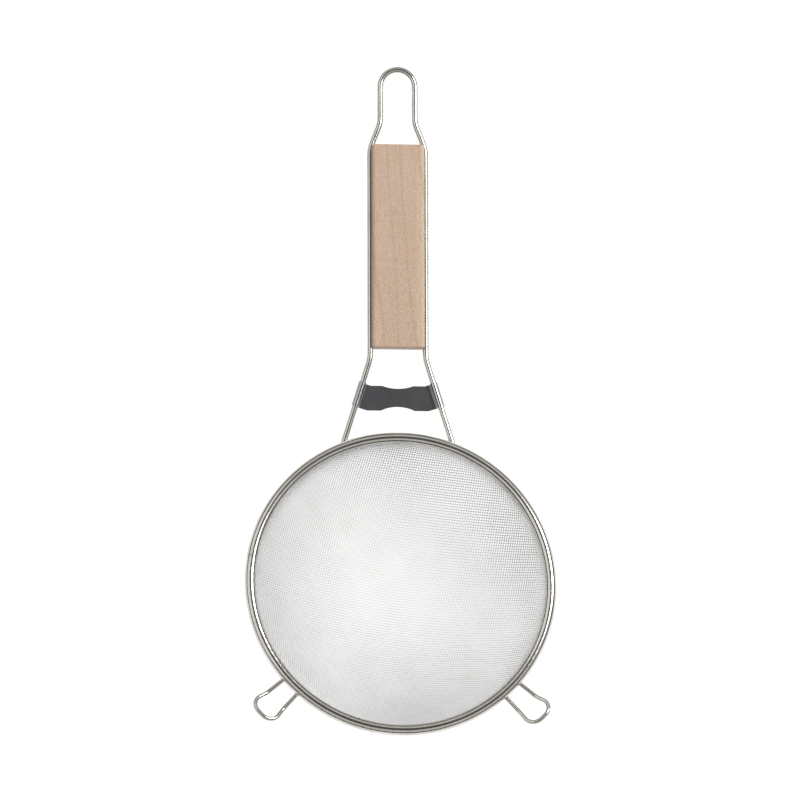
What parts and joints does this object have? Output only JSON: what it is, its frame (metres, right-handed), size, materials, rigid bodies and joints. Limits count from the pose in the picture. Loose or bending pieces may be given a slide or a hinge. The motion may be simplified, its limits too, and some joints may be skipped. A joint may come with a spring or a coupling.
{
  "type": "double sieve strainer",
  "caption": "Round double-mesh strainer with a rolled wire rim, a wire handle with a wooden grip, a hanging loop and rest hooks for a bucket.",
  "frame": {"origin": "centre of the rim's bead, in the plane of the bowl's mouth", "axes": "+Z out of the bowl's mouth, +Y along the handle towards its hanging loop, +X across the handle"},
  "size_m": [0.2, 0.4376, 0.0729],
  "materials": {
    "polished_steel": "bright polished stainless steel wire and band",
    "mesh_steel": "plain-woven stainless steel wire",
    "dark_steel": "satin sheet steel",
    "weld_steel": "bright, slightly rough weld metal",
    "pale_wood": "plain pale beech, sanded, not varnished"
  },
  "bodies": {
    "root": {"rim_band": "polished_steel", "rim_hoop": "polished_steel", "inner_mesh": "mesh_steel", "outer_mesh": "mesh_steel", "handle_frame": "polished_steel", "wood_grip": "pale_wood", "cross_brace": "dark_steel", "rest_hook_left": "polished_steel", "rest_hook_right": "polished_steel", "handle_welds": "weld_steel", "hook_welds": "weld_steel"}
  },
  "joints": []
}
